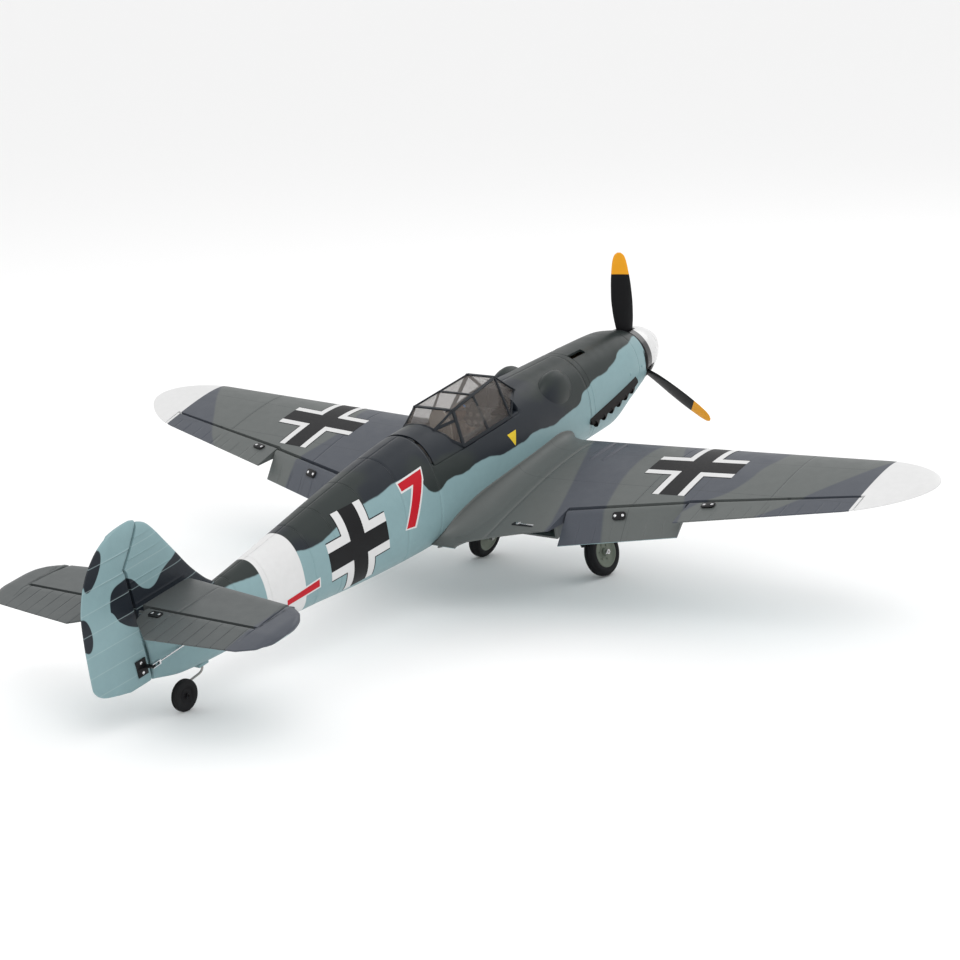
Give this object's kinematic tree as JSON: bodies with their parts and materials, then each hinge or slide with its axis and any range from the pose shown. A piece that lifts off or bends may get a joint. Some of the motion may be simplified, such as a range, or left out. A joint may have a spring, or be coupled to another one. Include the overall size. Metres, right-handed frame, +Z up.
{
  "type": "radio-controlled model aircraft",
  "caption": "Foam radio-controlled low-wing fighter model with flaps, folding wheels, a framed canopy and a three-bladed propeller.",
  "frame": {"origin": "centre of the footprint, on the ground under the three wheels", "axes": "+X to the pilot's left along the span, +Y towards the tail, +Z up; the aircraft sits nose up on its tail wheel"},
  "size_m": [1.2668, 1.1318, 0.4068],
  "materials": {
    "hull_foam": "satin painted foam, light blue-grey sides and dark top",
    "wing_foam": "satin painted foam, two-tone grey camouflage",
    "cowl_paint": "satin painted moulded cowl",
    "spinner_paint": "gloss white and black spinner",
    "prop_black": "black moulded nylon with orange-yellow tips",
    "black_nylon": "black moulded nylon",
    "steel_wire": "plated steel wire",
    "canopy_paint": "dark grey painted frame",
    "canopy_clear": "clear vacuum-formed plastic",
    "cockpit_grey": "grey moulded tub",
    "figure_brown": "painted figure",
    "tyre_black": "black rubber",
    "rim_grey": "grey-green moulded rim",
    "door_grey": "dark grey moulded cover",
    "exhaust_black": "sooty black moulding",
    "electronics": "black electronics cases",
    "battery_wrap": "shrink-wrapped battery",
    "motor_metal": "machined motor metal",
    "plywood": "laser-cut plywood",
    "carbon_tube": "carbon tube"
  },
  "bodies": {
    "airframe": {"battery": "battery_wrap", "exhaust_stacks": "exhaust_black", "firewall": "plywood", "fuselage_left_half": "hull_foam", "fuselage_right_half": "hull_foam", "motor_stator": "motor_metal", "nose_cowl": "cowl_paint", "receiver": "electronics", "retract_units": "black_nylon", "speed_controller": "electronics", "stabiliser": "wing_foam", "tail_fin": "hull_foam", "tail_servos": "electronics", "wing_bolts": "steel_wire", "wing_panel_left": "wing_foam", "wing_panel_right": "wing_foam", "wing_radiators": "wing_foam", "wing_servos": "electronics", "wing_spar_tubes": "carbon_tube"},
    "propeller_assembly": {"spinner": "spinner_paint", "spinner_backplate": "prop_black", "propeller": "prop_black", "motor_shaft": "steel_wire", "motor_bell": "motor_metal"},
    "canopy_hatch": {"canopy_frame": "canopy_paint", "canopy_glass": "canopy_clear", "cockpit_tub": "cockpit_grey", "pilot_figure": "figure_brown"},
    "aileron_left": {"aileron_left": "wing_foam", "aileron_horn_left": "black_nylon"},
    "aileron_arm_left": {"aileron_servo_arm_left": "black_nylon"},
    "aileron_rod_left": {"aileron_pushrod_left": "steel_wire"},
    "aileron_right": {"aileron_right": "wing_foam", "aileron_horn_right": "black_nylon"},
    "aileron_arm_right": {"aileron_servo_arm_right": "black_nylon"},
    "aileron_rod_right": {"aileron_pushrod_right": "steel_wire"},
    "flap_left": {"flap_left": "wing_foam", "flap_horn_left": "black_nylon"},
    "flap_arm_left": {"flap_servo_arm_left": "black_nylon"},
    "flap_rod_left": {"flap_pushrod_left": "steel_wire"},
    "flap_right": {"flap_right": "wing_foam", "flap_horn_right": "black_nylon"},
    "flap_arm_right": {"flap_servo_arm_right": "black_nylon"},
    "flap_rod_right": {"flap_pushrod_right": "steel_wire"},
    "elevator": {"elevator": "wing_foam", "elevator_horn": "black_nylon"},
    "rudder": {"rudder": "hull_foam", "rudder_horn": "black_nylon"},
    "elevator_rod": {"elevator_pushrod": "steel_wire"},
    "rudder_rod": {"rudder_pushrod": "steel_wire"},
    "tail_strut": {"tail_wheel_strut": "steel_wire"},
    "tail_wheel": {"tail_wheel": "tyre_black"},
    "gear_leg_left": {"gear_leg_left": "steel_wire", "gear_door_left": "door_grey"},
    "main_wheel_left": {"main_tyre_left": "tyre_black", "main_rim_left": "rim_grey"},
    "gear_leg_right": {"gear_leg_right": "steel_wire", "gear_door_right": "door_grey"},
    "main_wheel_right": {"main_tyre_right": "tyre_black", "main_rim_right": "rim_grey"}
  },
  "joints": [
    {"name": "propeller_spin", "type": "hinge", "parent": "airframe", "child": "propeller_assembly", "pos_m": [0, -0.48724, 0.25357], "axis": [0, -0.9828, 0.1847], "continuous": true},
    {"name": "canopy_lift_off", "type": "slide", "parent": "airframe", "child": "canopy_hatch", "axis": [0, 0.1847, 0.9828], "range_m": [0, 0.12]},
    {"name": "aileron_left", "type": "hinge", "parent": "airframe", "child": "aileron_left", "pos_m": [0.3379, -0.12539, 0.15583], "axis": [-0.9821, 0.1446, -0.1209], "range_deg": [-20, 20]},
    {"name": "aileron_arm_left_turn", "type": "hinge", "parent": "airframe", "child": "aileron_arm_left", "pos_m": [0.35585, -0.1898, 0.16964], "axis": [-0.9821, 0.1446, -0.1209], "range_deg": [-20, 20]},
    {"name": "aileron_rod_left_pin", "type": "hinge", "parent": "aileron_arm_left", "child": "aileron_rod_left", "pos_m": [0.35725, -0.19256, 0.15496], "axis": [-0.9821, 0.1446, -0.1209], "range_deg": [-20, 20]},
    {"name": "aileron_right", "type": "hinge", "parent": "airframe", "child": "aileron_right", "pos_m": [-0.3379, -0.12539, 0.15583], "axis": [-0.9821, -0.1446, 0.1209], "range_deg": [-20, 20]},
    {"name": "aileron_arm_right_turn", "type": "hinge", "parent": "airframe", "child": "aileron_arm_right", "pos_m": [-0.35585, -0.1898, 0.16964], "axis": [-0.9821, -0.1446, 0.1209], "range_deg": [-20, 20]},
    {"name": "aileron_rod_right_pin", "type": "hinge", "parent": "aileron_arm_right", "child": "aileron_rod_right", "pos_m": [-0.35725, -0.19256, 0.15496], "axis": [-0.9821, -0.1446, 0.1209], "range_deg": [-20, 20]},
    {"name": "flap_left", "type": "hinge", "parent": "airframe", "child": "flap_left", "pos_m": [0.178, -0.09353, 0.13413], "axis": [-0.9746, 0.1828, -0.1295], "range_deg": [-40, 0]},
    {"name": "flap_arm_left_turn", "type": "hinge", "parent": "airframe", "child": "flap_arm_left", "pos_m": [0.23541, -0.17657, 0.15534], "axis": [-0.9746, 0.1828, -0.1295], "range_deg": [-40, 0]},
    {"name": "flap_rod_left_pin", "type": "hinge", "parent": "flap_arm_left", "child": "flap_rod_left", "pos_m": [0.23427, -0.1918, 0.14242], "axis": [-0.9746, 0.1828, -0.1295], "range_deg": [0, 40]},
    {"name": "flap_right", "type": "hinge", "parent": "airframe", "child": "flap_right", "pos_m": [-0.178, -0.09353, 0.13413], "axis": [-0.9746, -0.1828, 0.1295], "range_deg": [-40, 0]},
    {"name": "flap_arm_right_turn", "type": "hinge", "parent": "airframe", "child": "flap_arm_right", "pos_m": [-0.23541, -0.17657, 0.15534], "axis": [-0.9746, -0.1828, 0.1295], "range_deg": [-40, 0]},
    {"name": "flap_rod_right_pin", "type": "hinge", "parent": "flap_arm_right", "child": "flap_rod_right", "pos_m": [-0.23427, -0.1918, 0.14242], "axis": [-0.9746, -0.1828, 0.1295], "range_deg": [0, 40]},
    {"name": "elevator", "type": "hinge", "parent": "airframe", "child": "elevator", "pos_m": [0, 0.48361, 0.13526], "axis": [1, 0, 0], "range_deg": [-22, 22]},
    {"name": "rudder", "type": "hinge", "parent": "airframe", "child": "rudder", "pos_m": [0, 0.47498, 0.05141], "axis": [0, 0.2206, 0.9754], "range_deg": [-25, 25]},
    {"name": "elevator_rod_slide", "type": "slide", "parent": "airframe", "child": "elevator_rod", "axis": [-0.1563, 0.9874, 0.0241], "range_m": [-0.008, 0.008]},
    {"name": "rudder_rod_slide", "type": "slide", "parent": "airframe", "child": "rudder_rod", "axis": [-0.0522, 0.9841, -0.1697], "range_m": [-0.008, 0.008]},
    {"name": "tail_wheel_steer", "type": "hinge", "parent": "airframe", "child": "tail_strut", "pos_m": [0, 0.38928, 0.05022], "axis": [0, 0.1847, 0.9828], "range_deg": [-25, 25]},
    {"name": "tail_wheel_spin", "type": "hinge", "parent": "tail_strut", "child": "tail_wheel", "pos_m": [0, 0.42005, 0.019], "axis": [1, 0, 0], "continuous": true},
    {"name": "gear_retract_left", "type": "hinge", "parent": "airframe", "child": "gear_leg_left", "pos_m": [0.062, -0.23834, 0.14321], "axis": [0.1134, -0.9363, 0.3324], "range_deg": [0, 84.92]},
    {"name": "wheel_spin_left", "type": "hinge", "parent": "gear_leg_left", "child": "main_wheel_left", "pos_m": [0.09816, -0.27963, 0.03179], "axis": [0.9793, 0.0374, 0.1989], "continuous": true},
    {"name": "gear_retract_right", "type": "hinge", "parent": "airframe", "child": "gear_leg_right", "pos_m": [-0.062, -0.23834, 0.14321], "axis": [0.1134, 0.9363, -0.3324], "range_deg": [0, 84.92]},
    {"name": "wheel_spin_right", "type": "hinge", "parent": "gear_leg_right", "child": "main_wheel_right", "pos_m": [-0.09816, -0.27963, 0.03179], "axis": [0.9793, -0.0374, -0.1989], "continuous": true}
  ],
  "couplings": [
    {"joint": "aileron_arm_left_turn", "follows": "aileron_left", "ratio": 1},
    {"joint": "aileron_rod_left_pin", "follows": "aileron_left", "ratio": -1},
    {"joint": "aileron_right", "follows": "aileron_left", "ratio": -1},
    {"joint": "aileron_arm_right_turn", "follows": "aileron_left", "ratio": -1},
    {"joint": "aileron_rod_right_pin", "follows": "aileron_left", "ratio": 1},
    {"joint": "flap_arm_left_turn", "follows": "flap_left", "ratio": 1},
    {"joint": "flap_rod_left_pin", "follows": "flap_left", "ratio": -1},
    {"joint": "flap_right", "follows": "flap_left", "ratio": 1},
    {"joint": "flap_arm_right_turn", "follows": "flap_left", "ratio": 1},
    {"joint": "flap_rod_right_pin", "follows": "flap_left", "ratio": -1},
    {"joint": "elevator_rod_slide", "follows": "elevator", "m_per_rad": 0.016},
    {"joint": "rudder_rod_slide", "follows": "rudder", "m_per_rad": -0.016},
    {"joint": "tail_wheel_steer", "follows": "rudder", "ratio": 1},
    {"joint": "gear_retract_right", "follows": "gear_retract_left", "ratio": 1}
  ]
}
